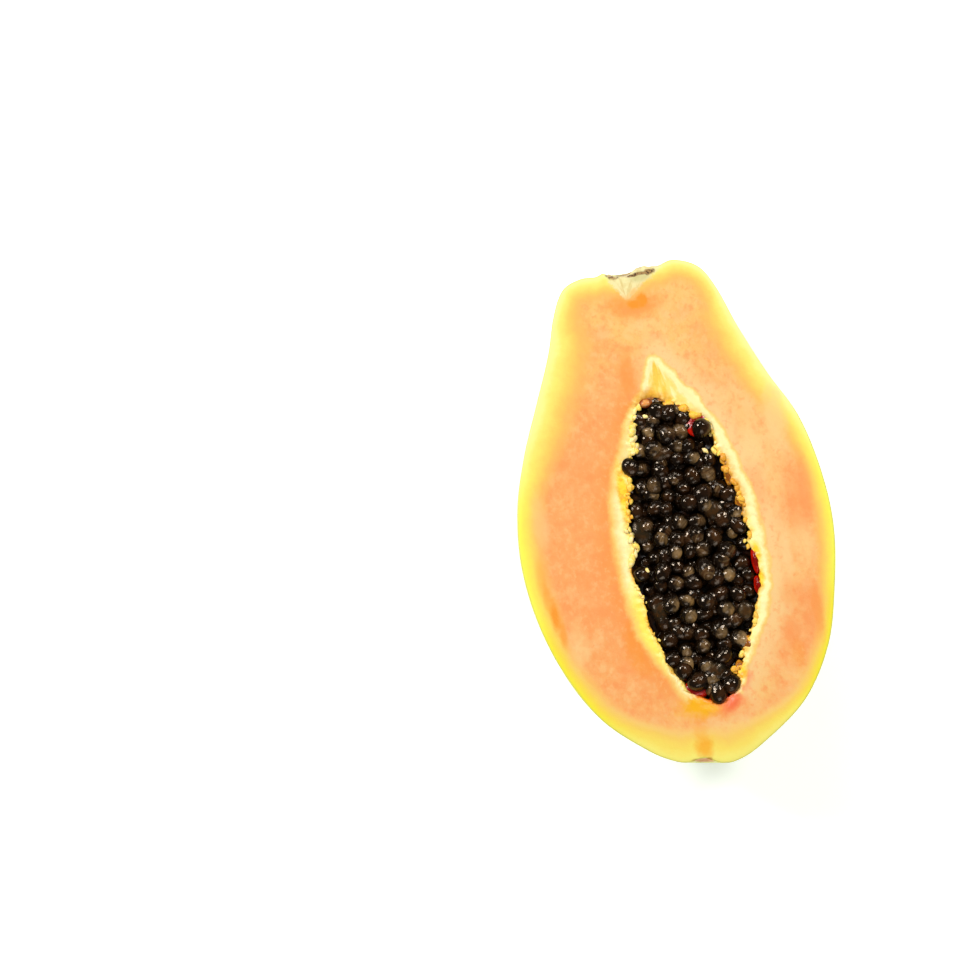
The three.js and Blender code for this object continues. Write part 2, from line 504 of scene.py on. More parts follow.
def tone(red, green, blue):
    """A colour given as the picture shows it, from 0 to 255, as the share of light that it gives back."""
    light = [((c / 255 + 0.055) / 1.055) ** 2.4 if c > 10 else c / 3295 for c in (red, green, blue)]
    return (*(share / STUDIO_GAIN for share in light), 1.0)


# The skin's colours: green where it is unripe, yellow where it is ripe, freckles, and corky scars.
SKIN_GREEN = tone(184, 214, 44)
SKIN_DEEP_GREEN = tone(140, 182, 24)
SKIN_YELLOW = tone(244, 216, 48)
SKIN_LEMON = tone(250, 246, 110)
SKIN_FRECKLE = tone(128, 104, 40)
CORK_BROWN = tone(170, 132, 78)
CORK_DARK = tone(86, 58, 32)
CORK_PALE = tone(222, 204, 150)
NAVEL_TAN = tone(262, 192, 120)


class FruitFinish(Finish):
    """A finish that knows its place on the fruit, in mm, and the grain that the tissue has."""

    def __init__(self, name, surface):
        super().__init__(name, surface)
        across, along, height = self.axes()
        self.offset = across / MM + REST_OFFSET
        self.station = along / MM + REST_STATION
        self.below = CUT_HEIGHT - height / MM
        self.clouds = self.grain(8.5, 4, 0.6)
        self.mottle = self.grain(2.4, 3, 0.6)
        self.fine = self.grain(0.8, 2, 0.6)

    def spot(self, middle, radii, softness=0.5, raggedness=0.35):
        """A soft-edged oval mark: its offset and station, and its two radii."""
        away = ((self.offset - middle[0]) / radii[0]) ** 2 + ((self.station - middle[1]) / radii[1]) ** 2
        ragged = (self.mottle - 0.5) * 2 * raggedness
        return 1 - self.rise(away**0.5 + ragged, 1 - softness, 1 + softness)

    def marked(self, colour, marks, softness, raggedness):
        """A colour with marks over it, each with its middle, two radii, tint and strength."""
        for middle, radii, tint, strength in marks:
            colour = self.blend(colour, tint, self.spot(middle, radii, softness, raggedness) * strength)
        return colour

    def fibres(self, middle, turn, run):
        """Noise in strands that run away from a point: how far they turn and run, in radians and mm."""
        sideways = self.offset - middle[0]
        onwards = middle[1] - self.station
        angle = self.node("ShaderNodeMath", {"operation": "ARCTAN2"}, {0: sideways, 1: onwards})
        away = (sideways * sideways + onwards * onwards) ** 0.5
        strand = self.node("ShaderNodeCombineXYZ", sockets={0: angle / turn, 1: away / run, 2: self.clouds})
        return self.node("ShaderNodeTexNoise", sockets={"Vector": strand, "Scale": 1.0, "Detail": 2.5})


def skin_finish():
    """Waxy skin that ripens from green to yellow, freckled, and corky round the stalk scar."""
    surface = {
        "Specular IOR Level": 0.45,
        "Coat Weight": 0.12,
        "Coat Roughness": 0.18,
        "Subsurface Weight": 0.06,
        "Subsurface Radius": (2 * MM, 1.6 * MM, 0.6 * MM),
    }
    skin = FruitFinish("papaya_skin", surface)
    broad = skin.grain(42, 3, 0.55)
    middling = skin.grain(13, 4, 0.6)
    fine = skin.grain(1.6, 3, 0.6)
    streaks = skin.grain(7, 3, 0.6, skin.stretched((1, 0.16, 1)))
    ripeness = broad * 1.1 + middling * 0.35 - streaks * 0.12
    colour = skin.blend(SKIN_DEEP_GREEN, SKIN_GREEN, skin.rise(ripeness, 0.42, 0.62))
    colour = skin.blend(colour, SKIN_YELLOW, skin.rise(ripeness, 0.62, 0.90))
    near_cut = 1 - skin.rise(skin.below + (middling - 0.5) * 6, -1.0, 11.0)
    colour = skin.blend(colour, SKIN_LEMON, near_cut)
    colour = skin.blend(colour, SKIN_LEMON, skin.rise(fine, 0.62, 0.85) * 0.22)
    cells = skin.node(
        "ShaderNodeTexVoronoi",
        {"feature": "F1"},
        {"Vector": skin.place, "Scale": 1 / (3.4 * MM), "Randomness": 1.0},
        output="Distance",
    )
    freckled = skin.rise(middling + broad * 0.5, 0.72, 0.9)
    freckles = (1 - skin.rise(cells, 0.10, 0.19)) * freckled
    colour = skin.blend(colour, SKIN_FRECKLE, freckles * 0.65)
    from_axis = (skin.offset**2 + skin.below**2) ** 0.5
    ragged = (fine - 0.5) * 5 + (middling - 0.5) * 3
    scar = (1 - skin.rise(from_axis + ragged, 7.0, 9.0)) * skin.rise(skin.station, 167.0, 170.0)
    cork = skin.blend(CORK_BROWN, CORK_DARK, skin.rise(fine, 0.45, 0.62))
    cork = skin.blend(cork, CORK_PALE, skin.rise(middling, 0.5, 0.7))
    cork = skin.blend(cork, CORK_PALE, near_cut * 0.6)
    colour = skin.blend(colour, cork, scar)
    navel = (1 - skin.rise(from_axis + ragged * 0.5, 2.6, 4.4)) * (1 - skin.rise(skin.station, 0.5, 3.0))
    colour = skin.blend(colour, skin.blend(CORK_BROWN, NAVEL_TAN, near_cut), navel)
    skin.wear("Base Color", colour)
    skin.wear("Roughness", 0.34 + middling * 0.14 + scar * 0.4 + navel * 0.3)
    relief = fine * 0.25 + middling * 0.4 - freckles * 0.35 + (scar + navel) * fine * 1.6
    skin.bump(relief, 0.5, 0.5)
    return skin.material


# The cut flesh from the skin inwards: at the blossom end, above it, at the middle and near the stalk.
EDGE_LINE = tone(226, 220, 90)
RIM_LEMON = (tone(254, 240, 120), tone(254, 240, 50), tone(254, 250, 84), tone(254, 252, 150))
RIM_YELLOW = (tone(254, 226, 98), tone(254, 222, 72), tone(254, 234, 88), tone(254, 236, 112))
BAND_AMBER = tone(254, 210, 96)
BAND_ORANGE = tone(254, 190, 94)
BAND_PALE = tone(254, 208, 116)
RIM_STATIONS = ((6.0, 24.0), (44.0, 62.0), (88.0, 125.0))
STALK_STATIONS = (150.0, 166.0)
RIM_NARROWING = (1.0, 2.1, 1.68, 1.04)
SKIN_LAYERS = ((0.15, 0.5), (0.8, 5.0), (4.0, 9.0), (7.5, 12.5), (10.0, 18.0))


def rim_colours(flesh, inner):
    """The yellow layers under the skin: wide and pale at both ends, and narrow between them."""
    steps = [flesh.rise(flesh.station, *stations) for stations in RIM_STATIONS]
    lemon, yellow = RIM_LEMON[0], RIM_YELLOW[0]
    narrowing = RIM_NARROWING[0]
    for number, step in enumerate(steps):
        lemon = flesh.blend(lemon, RIM_LEMON[number + 1], step)
        yellow = flesh.blend(yellow, RIM_YELLOW[number + 1], step)
        narrowing = narrowing + step * (RIM_NARROWING[number + 1] - RIM_NARROWING[number])
    narrowing = narrowing + flesh.rise(flesh.station, *STALK_STATIONS) * 0.7
    narrowing = narrowing * (1 + flesh.rise(flesh.offset, 0.0, 30.0) * 0.32)
    ragged = (flesh.clouds - 0.5) * 5.0 + (flesh.mottle - 0.5) * 2.2
    depth = flesh.skin_depth * narrowing + ragged * flesh.rise(flesh.skin_depth, 0.2, 2.5)
    layers = [flesh.rise(depth, *layer) for layer in SKIN_LAYERS[1:]]
    colour = lemon
    band = flesh.blend(BAND_PALE, BAND_ORANGE, flesh.rise(flesh.station, 14.0, 40.0))
    for tint, layer in zip((yellow, BAND_AMBER, band, inner), layers):
        colour = flesh.blend(colour, tint, layer)
    colour = flesh.marked(colour, RIM_MARKS, *MARK_EDGE)
    return flesh.blend(EDGE_LINE, colour, flesh.rise(flesh.skin_depth, *SKIN_LAYERS[0]))


# The deep flesh and its marks: offset and station, two radii, tint and strength.
FLESH_LEFT = tone(254, 170, 97)
FLESH_RIGHT = tone(254, 196, 120)
FLESH_RED = tone(254, 156, 84)
FLESH_SIDE = tone(254, 156, 70)
FLESH_PALE = tone(254, 208, 140)
FLESH_TOP = tone(254, 194, 108)
FLESH_FOOT = tone(254, 198, 116)
STAIN_RED = tone(252, 104, 64)
WEDGE_ORANGE = tone(254, 152, 32)
FLESH_PINK = tone(254, 212, 140)
BLOSSOM_ORANGE = tone(254, 184, 48)
FOOT_GOLD = tone(254, 182, 14)
FOOT_RED = tone(248, 112, 26)
MARK_EDGE = (0.6, 0.5)  # how soft and how ragged
FLESH_MARKS = (
    ((45.6, 44.0), (4.6, 12.0), FLESH_RED, 0.6),
    ((38.8, 53.5), (3.2, 6.0), FLESH_RED, 0.45),
    ((37.4, 39.9), (3.4, 5.4), FLESH_RED, 0.7),
    ((33.0, 92.0), (3.2, 8.0), FLESH_RED, 0.4),
    ((33.6, 106.5), (3.4, 6.5), FLESH_PINK, 0.75),
    ((39.8, 66.6), (1.7, 8.0), FLESH_PALE, 0.8),
    ((46.2, 71.0), (3.4, 6.5), FLESH_PINK, 0.5),
    ((34.4, 60.0), (2.6, 7.0), FLESH_PINK, 0.5),
    ((46.0, 88.0), (4.0, 12.0), FLESH_RED, 0.55),
    ((-28.5, 104.0), (7.0, 9.0), FLESH_RED, 0.4),
    ((-5.5, 138.0), (2.4, 7.0), FLESH_SIDE, 0.7),
    ((-17.8, 43.0), (3.2, 7.5), WEDGE_ORANGE, 0.45),
    ((-14.6, 36.0), (3.6, 4.0), WEDGE_ORANGE, 0.3),
    ((8.5, 17.6), (9.0, 4.6), FLESH_SIDE, 0.7),
    ((11.0, 19.8), (4.8, 4.2), STAIN_RED, 0.85),
    ((18.2, 27.0), (2.4, 4.6), STAIN_RED, 0.5),
    ((2.0, 19.2), (6.8, 4.2), FOOT_GOLD, 1.0),
    ((0.8, 161.6), (9.0, 5.0), FLESH_SIDE, 0.85),
    ((-4.6, 163.4), (2.8, 2.4), WEDGE_ORANGE, 0.4),
)

# Marks that lie in the yellow layers themselves, most of them orange streaks.
RIM_MARKS = (
    ((-45.3, 64.0), (1.3, 4.6), WEDGE_ORANGE, 0.45),
    ((-43.6, 57.4), (1.4, 4.8), WEDGE_ORANGE, 0.9),
    ((-41.6, 50.6), (1.3, 4.2), WEDGE_ORANGE, 0.6),
    ((-46.4, 71.0), (1.6, 6.0), WEDGE_ORANGE, 0.3),
    ((38.5, 31.0), (2.0, 5.0), WEDGE_ORANGE, 0.35),
    ((47.4, 46.0), (1.9, 9.0), FLESH_SIDE, 0.65),
    ((49.6, 88.0), (2.4, 12.0), FLESH_RED, 0.6),
    ((43.4, 115.0), (3.6, 10.0), FLESH_PINK, 0.7),
    ((-43.6, 90.0), (2.6, 9.0), FLESH_PALE, 0.4),
    ((-37.0, 45.0), (3.4, 8.0), FLESH_PINK, 0.45),
    ((0.8, 4.6), (2.9, 3.3), BLOSSOM_ORANGE, 0.95),
    ((0.4, 10.5), (2.4, 5.0), WEDGE_ORANGE, 0.3),
)


def deep_flesh(flesh):
    """Salmon flesh: mottled, with pale veins along it and redder patches."""
    broad = flesh.grain(24, 3, 0.5)
    patches = flesh.grain(5.0, 3, 0.6, flesh.stretched((1.0, 0.9, 1)))
    flecks = flesh.grain(1.9, 3, 0.6, flesh.stretched((1.05, 0.85, 1)))
    dots = flesh.grain(1.6, 1, 0.5)
    colour = flesh.blend(FLESH_LEFT, FLESH_RIGHT, flesh.rise(flesh.offset, -24.0, 30.0))
    colour = flesh.blend(colour, FLESH_TOP, flesh.rise(flesh.station, 124.0, 150.0))
    colour = flesh.blend(FLESH_FOOT, colour, flesh.rise(flesh.station, 8.0, 46.0))
    colour = flesh.blend(colour, FLESH_PALE, flesh.rise(flesh.clouds, 0.46, 0.68) * 0.35)
    blush = flesh.rise(broad + (flesh.clouds - 0.5) * 0.6, 0.46, 0.68)
    colour = flesh.blend(colour, FLESH_RED, blush * 0.45)
    colour = flesh.blend(colour, FLESH_RED, flesh.rise(patches, 0.52, 0.68) * 0.55)
    colour = flesh.blend(colour, FLESH_PALE, (1 - flesh.rise(patches, 0.34, 0.48)) * 0.35)
    to_right = flesh.rise(flesh.offset, -8.0, 8.0)
    near_lining = flesh.rise(flesh.lining + (flesh.clouds - 0.5) * 8, -9.0, -0.5)
    colour = flesh.blend(colour, FLESH_SIDE, near_lining * (1 - to_right) * (0.35 + broad * 0.7))
    colour = flesh.blend(colour, FLESH_PALE, near_lining * to_right * 0.9)
    colour = flesh.blend(colour, FLESH_PALE, flesh.rise(flecks, 0.50, 0.72) * 0.30)
    colour = flesh.blend(colour, FLESH_RED, (1 - flesh.rise(flecks, 0.30, 0.50)) * 0.45)
    colour = flesh.blend(colour, FLESH_RED, flesh.rise(dots, 0.64, 0.80) * 0.5)
    return flesh.marked(colour, FLESH_MARKS, *MARK_EDGE)


# The stalk scar on the cut, its cork, and the blossom scar at the other end.
SCAR_CREAM = tone(246, 232, 172)
SCAR_SHADE = tone(226, 198, 128)
SCAR_TIP = (-1.2, 163.6)
SCAR_BALLS = (
    ((4.0, 163.0), (2.2, 2.1), WEDGE_ORANGE, 1.0),
    ((1.3, 161.9), (2.3, 1.7), WEDGE_ORANGE, 1.0),
)
SCAR_TINTS = (
    ((1.7, 165.4), (2.0, 1.8), FLESH_TOP, 0.8),
    ((5.4, 167.0), (1.5, 1.6), WEDGE_ORANGE, 0.7),
)
SCAR_SLANT = 0.30
SCAR_STREAKS = (0.16, 5.0)
SCAR_SPREAD = (0.72, 1.10)
CORK_LUMP_MARKS = (
    ((-5.0, 172.9), (2.5, 1.4)),
    ((7.9, 172.6), (1.7, 1.1)),
    ((4.8, 172.3), (2.4, 0.6)),
    ((1.6, 171.9), (2.2, 0.5)),
)
SCAR_OLIVE_SHADE = tone(206, 200, 142)
BLOSSOM_BROWN = tone(184, 124, 44)
BLOSSOM_MARKS = (
    ((1.5, 0.1), (1.1, 0.8), BLOSSOM_BROWN, 0.9),
    ((-3.0, 0.7), (1.1, 0.5), BLOSSOM_BROWN, 0.5),
    ((-0.6, 0.0), (3.2, 0.4), BLOSSOM_BROWN, 0.6),
)


def scar_colours(flesh, colour):
    """A cream wedge of streaky tissue under the stalk, painted olive shade at its top, brown cork lumps,
    and the blossom's specks.
    """
    upwards = flesh.station - SCAR_TIP[1]
    sideways = flesh.offset - SCAR_TIP[0] - upwards * SCAR_SLANT
    ragged = (flesh.mottle - 0.5) * 1.1 + (flesh.fine - 0.5) * 0.5
    wedge = 1 - flesh.rise(abs(sideways) / (upwards + 0.8) + ragged, *SCAR_SPREAD)
    wedge = wedge * flesh.rise(upwards + (flesh.mottle - 0.5) * 4, -0.5, 2.5)
    colour = flesh.marked(colour, SCAR_BALLS, 0.5, 0.9)
    streaks = flesh.fibres(SCAR_TIP, *SCAR_STREAKS)
    tissue = flesh.blend(SCAR_CREAM, SCAR_SHADE, flesh.rise(streaks, 0.46, 0.70) * 0.8)
    tissue = flesh.marked(tissue, SCAR_TINTS, 0.5, 0.35)
    tissue = flesh.blend(tissue, SCAR_SHADE, flesh.rise(flesh.mottle, 0.5, 0.7) * 0.5)
    # Painted shade: olive-grey near the top of the wedge, by the cork.
    tissue = flesh.blend(tissue, SCAR_OLIVE_SHADE, flesh.spot((4.4, 171.2), (3.6, 1.8), 0.6) * 0.7)
    colour = flesh.blend(colour, tissue, wedge * 0.9)
    cork = flesh.blend(CORK_BROWN, CORK_DARK, flesh.rise(flesh.fine, 0.46, 0.60))
    colour = flesh.marked(colour, [(*place, cork, 1.0) for place in CORK_LUMP_MARKS], 0.3, 0.9)
    under_skin = 1 - flesh.rise(flesh.skin_depth + (flesh.fine - 0.5) * 1.6, 0.1, 0.6)
    colour = flesh.blend(colour, CORK_PALE, under_skin * wedge * 0.8)
    return flesh.marked(colour, BLOSSOM_MARKS, 0.5, 0.7)


# The lining from the flesh to the hollow, and the hollow's wall, painted darker with shade deeper down.
LINING_FADE = tone(254, 208, 108)
LINING_CREAM = tone(272, 250, 176)
LINING_YELLOW = tone(268, 242, 92)
LINING_YELLOW_SIDE = ((-13.0, 46.0), (8.0, 17.0))
FLAME_YELLOW = tone(264, 228, 116)
FLAME_ORANGE = tone(252, 210, 78)
TORN_YELLOW = tone(270, 238, 122)
TORN_GOLD = tone(262, 206, 70)
# Amber of the torn tissue, also used as painted shade where the seeds shade the lining.
AMBER_TISSUE_AND_SHADE = tone(244, 172, 30)
AMBER_GOLD = tone(284, 226, 34)
AMBER_DEEP = tone(268, 186, 20)
EDGE_SHADE_BROWN = tone(150, 88, 26)
WALL_SHADE_BROWN = tone(92, 50, 16)
FOOT_GAP = ((7.6, 18.4), (12.0, 6.8))
SHADED_EDGES = (((1.0, 129.0), (8.0, 5.0)), ((25.6, 94.0), (3.4, 13.0)))
AMBER_ZONES = (
    ((-13.2, 96.5), (1.9, 9.5)),
    ((16.6, 29.4), (2.6, 3.4)),
    ((29.6, 69.5), (1.3, 3.4)),
    ((29.8, 60.0), (1.1, 3.0)),
)


def lining_colours(flesh, colour):
    """Cream spongy tissue, yellow and amber where it was torn towards the seeds; painted shade by the seeds
    and down the wall.
    """
    strands = flesh.fibres(FLAME_TIP, FIBRE_TURN, FIBRE_RUN)
    above = flesh.rise(flesh.station, 114.0, 127.0)
    crisp = 1 + flesh.rise(flesh.offset, 0.0, 24.0) * 1.2 + above * 1.2
    ragged = (flesh.clouds - 0.5) * 3.0 + (flesh.mottle - 0.5) * 1.8
    inside = (flesh.lining + ragged) * crisp
    foot = flesh.spot(*FOOT_GAP, 0.35, 0.6)
    kept = 1 - foot
    colour = flesh.blend(colour, LINING_FADE, flesh.rise(inside, -1.9, 0.6) * kept)
    cream = flesh.blend(LINING_CREAM, LINING_YELLOW, flesh.spot(*LINING_YELLOW_SIDE, 0.4))
    colour = flesh.blend(colour, cream, flesh.rise(inside, -0.4, 3.0) * kept)
    flame = flesh.rise(flesh.lining + (strands - 0.5) * 3.0, 1.8, 3.4) * above
    colour = flesh.blend(colour, FLAME_YELLOW, flame * flesh.rise(strands, 0.34, 0.46) * 0.9)
    colour = flesh.blend(colour, FLAME_ORANGE, flame * flesh.rise(strands, 0.48, 0.62))
    zone = flesh.grain(10, 2, 0.5) + (flesh.mottle - 0.5) * 0.5
    torn = flesh.blend(TORN_YELLOW, TORN_GOLD, flesh.rise(zone, 0.40, 0.56))
    to_edge = 1 - flesh.rise(flesh.hollow + (flesh.mottle - 0.5) * 2.0, 0.1, 1.7)
    colour = flesh.blend(colour, torn, to_edge * kept * 0.85)
    colour = flesh.blend(colour, FOOT_RED, to_edge * foot * 0.7)
    deeper = flesh.blend(TORN_GOLD, AMBER_TISSUE_AND_SHADE, flesh.rise(zone, 0.36, 0.52))
    over_edge = 1 - flesh.rise(flesh.hollow + (flesh.mottle - 0.5) * 1.6, -1.6, -0.1)
    colour = flesh.blend(colour, deeper, over_edge * (0.4 + kept * 0.6))
    amber = flesh.blend(AMBER_DEEP, AMBER_GOLD, flesh.rise(flesh.mottle, 0.34, 0.52))
    colour = flesh.marked(colour, [(*place, amber, 0.95) for place in AMBER_ZONES], 0.5, 0.6)
    near_edge = 1 - flesh.rise(flesh.hollow + (flesh.mottle - 0.5) * 3, 0.2, 3.0)
    near_seeds = 1 - flesh.rise(flesh.hollow + (flesh.mottle - 0.5) * 2, -0.6, 1.2)
    # Painted shade: amber, then brown next to the seeds, where the seeds shade the lining's edge.
    for middle, radii in SHADED_EDGES:
        shade = near_edge * flesh.spot(middle, radii)
        colour = flesh.blend(colour, AMBER_TISSUE_AND_SHADE, shade * 0.9)
        colour = flesh.blend(colour, EDGE_SHADE_BROWN, near_seeds * shade)
    # Painted shade: the hollow's wall turns dark brown deeper down.
    return flesh.blend(colour, WALL_SHADE_BROWN, 1 - flesh.rise(flesh.hollow, -3.4, -1.2))


def flesh_finish():
    """Wet cut flesh: lemon at the skin, salmon inside, cream and fibrous round the hollow."""
    surface = {
        "Specular IOR Level": 0.4,
        "Coat Weight": 0.1,
        "Coat Roughness": 0.22,
        "Subsurface Weight": 0.10,
        "Subsurface Radius": (2 * MM, 1.0 * MM, 0.4 * MM),
    }
    flesh = FruitFinish("papaya_flesh", surface)
    flesh.skin_depth = flesh.number("skin_depth")
    flesh.lining = flesh.number("lining")
    flesh.hollow = flesh.number("hollow")
    colour = rim_colours(flesh, deep_flesh(flesh))
    colour = scar_colours(flesh, colour)
    flesh.wear("Base Color", lining_colours(flesh, colour))
    flesh.wear("Roughness", 0.36 + flesh.mottle * 0.16)
    spongy = flesh.rise(flesh.lining, -0.5, 1.5)
    relief = flesh.mottle * 0.35 + flesh.fine * 0.18 + spongy * (flesh.mottle + flesh.fine * 0.5) * 0.8
    flesh.bump(relief, 0.5, 0.4)
    return flesh.material


rind.data.materials.append(skin_finish())
flesh_material = flesh_finish()
cut_face.data.materials.append(flesh_material)
hollow_wall.data.materials.append(flesh_material)

halved_fruit = joined("halved_fruit", [rind, cut_face, hollow_wall])
corners = places_of(halved_fruit) / MM + [REST_OFFSET, REST_STATION, -CUT_HEIGHT]
rim_shares = np.linspace(0, 1, EDGE_STEPS)
rim_along, rim_angles = loop_sides(rim_shares)
from_rim = distances(edge_tree(skin_points(even_shares(rim_along), rim_angles)), corners)
hollow_edge = edge_tree(hollow_points(rim_along, rim_angles))
from_hollow = distances(hollow_edge, corners)
on_cut = corners[:, 2] > -CUT_TOLERANCE
lining_rows = np.array(LINING_OUTLINE)
lining_line = np.concatenate([lining_rows[:, [1, 0]], lining_rows[::-1][:, [2, 0]]])
lining_runs = np.linspace(0, len(lining_line) - 1, EDGE_STEPS)
lining_edge = np.stack(
    [np.interp(lining_runs, np.arange(len(lining_line)), lining_line[:, axis]) for axis in (0, 1)]
    + [np.zeros(len(lining_runs))],
    axis=1,
)
from_lining = distances(edge_tree(lining_edge), corners * [1, 1, 0])
lining_left, lining_right = (
    np.interp(corners[:, 1], lining_rows[:, 0], lining_rows[:, side]) for side in (1, 2)
)
in_lining = (corners[:, 0] > lining_left) & (corners[:, 0] < lining_right)
in_lining &= (corners[:, 1] > lining_rows[0, 0]) & (corners[:, 1] < lining_rows[-1, 0])


def fade_in(values, low, high):
    """0 under low, 1 over high, and smooth between."""
    share = np.clip((values - low) / (high - low), 0, 1)
    return share * share * (3 - 2 * share)


skin_radius = np.hypot(corners[:, 0], corners[:, 2])
outwards = corners * [1, 0, 1] / np.maximum(skin_radius, 1)[:, None]
hollow_line = hollow_sections(np.linspace(0, 1, ALONG_STEPS))
hollow_middle, hollow_half = (np.interp(corners[:, 1], hollow_line[0], line) for line in hollow_line[1:])
moved = corners.copy()

# Torn tissue overhangs the hollow's edge as a lip with short teeth, crumbly on top.
lip_weight = np.exp(-from_hollow / LIP_REACH)
top_lip = TOP_LIP[0] * fade_in(corners[:, 1], *TOP_LIP[1:])
side = np.where(corners[:, 0] > hollow_middle, 1, -1)
torn_left, torn_right = torn_edge(corners[:, 1] - top_lip)
lip = hollow_half + side * (hollow_middle - np.where(side > 0, torn_right, torn_left))
teeth = sum(height * waves(corners, size) for height, size in TEETH_WAVES)
teeth *= np.exp(-from_hollow / TEETH_REACH) * np.clip(hollow_half / TEETH_NARROW, 0, 1)
moved[:, 0] -= side * (lip * lip_weight + teeth)
moved[:, 1] -= top_lip * lip_weight
moved[:, 2] -= LIP_DROP * np.exp(-from_hollow / TEETH_REACH) * (1 + waves(corners, TEETH_WAVES[0][1]))
moved[:, 2] += CRUMBS[0] * waves(corners, CRUMBS[1]) * np.exp(-from_hollow / CRUMB_REACH) * on_cut

# The lining slopes down to the hollow, and above the hollow it is a shallow scoop of fibres.
inside_lining = np.where(in_lining, from_lining, 0) * on_cut
above_seeds = fade_in(corners[:, 1], *FLAME_STATIONS)
tip_offset, tip_station = FLAME_TIP
from_tip = [corners[:, 0] - tip_offset, tip_station - corners[:, 1]]
strand = np.stack(
    [np.arctan2(*from_tip) / FIBRE_TURN, np.hypot(*from_tip) / FIBRE_RUN, np.zeros(len(corners))],
    axis=1,
)
moved[:, 2] -= LINING_DIP[0] * fade_in(inside_lining, 0, LINING_DIP[1])
scoop = fade_in(inside_lining, *FLAME_DIP[1:]) * above_seeds
moved[:, 2] -= scoop * (FLAME_DIP[0] + FIBRE_HEIGHT * waves(strand, 1.0))

rounding, rounding_reach = RIM_ROUNDING
moved[:, 2] -= rounding * np.exp(-from_rim / rounding_reach)
face_lift = sum(height * waves(corners, size) for height, size in FACE_WAVES)
face_weight = (1 - np.exp(-from_rim / FACE_WAVES_START)) * (1 - np.exp(-from_hollow / TEETH_REACH))
moved[:, 2] += face_lift * (on_cut * face_weight)
is_skin = np.zeros(len(corners), bool)
for polygon in halved_fruit.data.polygons:
    if polygon.material_index == 0:
        is_skin[list(polygon.vertices)] = True
back_lift = sum(height * waves(corners, size) for height, size in BACK_WAVES)
moved += outwards * (back_lift * is_skin * (1 - np.exp(-from_rim / BACK_WAVES_START)))[:, None]
cork_radius, cork_width = CORK_RING
cork_weight = np.exp(-(((skin_radius - cork_radius) / cork_width) ** 2))
cork_weight *= np.clip((corners[:, 1] - CORK_STATION) / CORK_FADE, 0, 1)
moved[:, 1] += CORK_LUMPS[0] * cork_weight * waves(corners, CORK_LUMPS[1])
ridge_height, ridge_offset, ridge_width, ridge_depth = SCAR_RIDGE
ridge_weight = np.exp(-(((corners[:, 0] - ridge_offset) / ridge_width) ** 2) + corners[:, 2] / ridge_depth)
moved[:, 1] += ridge_height * ridge_weight * fade_in(corners[:, 1], *SCAR_RIDGE_STATIONS)
blossom_weight = np.exp(-((skin_radius / BLOSSOM_REACH) ** 2)) * (corners[:, 1] < BLOSSOM_STATION)
moved[:, 1] += BLOSSOM_LUMPS[0] * blossom_weight * waves(corners, BLOSSOM_LUMPS[1])
settled = row_frame(moved)
settled[:, 2] = np.maximum(settled[:, 2], 0)
put_places(halved_fruit, settled)
paint(halved_fruit, "skin_depth", np.where(on_cut, from_rim, DEEP_IN))
paint(halved_fruit, "lining", np.where(in_lining | ~on_cut, from_lining, -from_lining))
paint(halved_fruit, "hollow", np.where(on_cut, from_hollow, -from_hollow))
select_only(halved_fruit)
bpy.ops.object.shade_smooth_by_angle(angle=SHARP_EDGE)
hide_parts("papaya_half")
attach(halved_fruit, "root")

# The seeds
# Black-brown seeds, each in its own wet, see-through sac, heaped in the hollow on the jelly that they grew
# in, a sheet painted near-black and brown as the shade in the gaps between them. A few shapes stand for all
# of them, and each seed is turned and sized its own way.
SEED_RADIUS = 3.25
SEED_STRETCHES = (0.98, 1.30)
SEED_STATIONS = (23.5, 126.5)
SEED_ROW_STEP = 5.4
SEED_STEP = 6.2
SEED_SCATTER = 3.2
TABLE_STEPS = 4000
SEED_HEIGHT = -3.2
SEED_HEIGHT_SPREAD = 3.4
SEED_DOME = 1.1
SEED_WALL_CLEARANCE = 1.6
LOWER_WALL_CLEARANCE = -0.8
SEED_TILT = math.pi / 2
RANDOM_START = 20611
DRAW_FACTOR = 1664525
DRAW_STEP = 1013904223
DRAW_RANGE = 2**32
SEED_SHAPES = 9
SEED_SHAPE_STEP = 7.3  # how far apart in the noise two shapes lie
SEED_FACETS = (3, 2)
SEED_LUMPS = ((0.45, 3.4), (0.16, 1.6))
SEED_SIZES = (0.78, 1.12)
LOWER_STATIONS = (25.0, 125.0)
LOWER_DROP = 3.0
LOWER_START = 977
# Painted shade: the lower seeds lie in the heap's shade, so their tint, which scales their painted light,
# stays low.
LOWER_SHADED_TINT = 0.35

# Seeds at the edge of the heap: place, turn and tilt.
END_SEEDS = (
    ((3.0, 123.6, -2.4), 0.2, 0.6),
    ((-3.6, 121.6, -3.0), 0.7, 0.3),
    ((7.2, 122.8, -2.8), 0.4, 0.8),
    ((11.4, 120.2, -3.2), 0.1, 0.3),
    ((17.4, 114.9, -0.9), 0.5, 0.3),
    ((-9.6, 105.4, -2.2), 0.1, 0.5),
    ((-11.6, 67.4, -2.4), 0.8, 0.6),
    ((-5.6, 36.4, -2.8), 0.3, 0.4),
    ((-2.4, 32.0, -2.6), 0.6, 0.7),
    ((2.5, 27.6, -1.2), 0.3, 0.7),
    ((8.4, 22.9, -1.8), 0.5, 0.5),
    ((13.6, 25.2, -2.0), 0.9, 0.4),
    ((23.4, 90.6, -3.0), 0.2, 0.7),
    ((24.6, 79.6, -3.1), 0.6, 0.5),
    ((23.6, 31.8, -3.2), 0.4, 0.6),
)
END_START = 311
# Painted shade: the seeds at the edge, by the wall, get little painted light.
END_SHADED_TINT = 0.3
END_SIZES = (0.92, 1.16)
# Painted light: the side of each seed that is painted paler, as lit, turned a little at random for each
# seed.
PAINTED_LIGHT_SIDE = Vector((0.38, -0.30, 0.87))
PAINTED_LIGHT_WANDER = 0.55
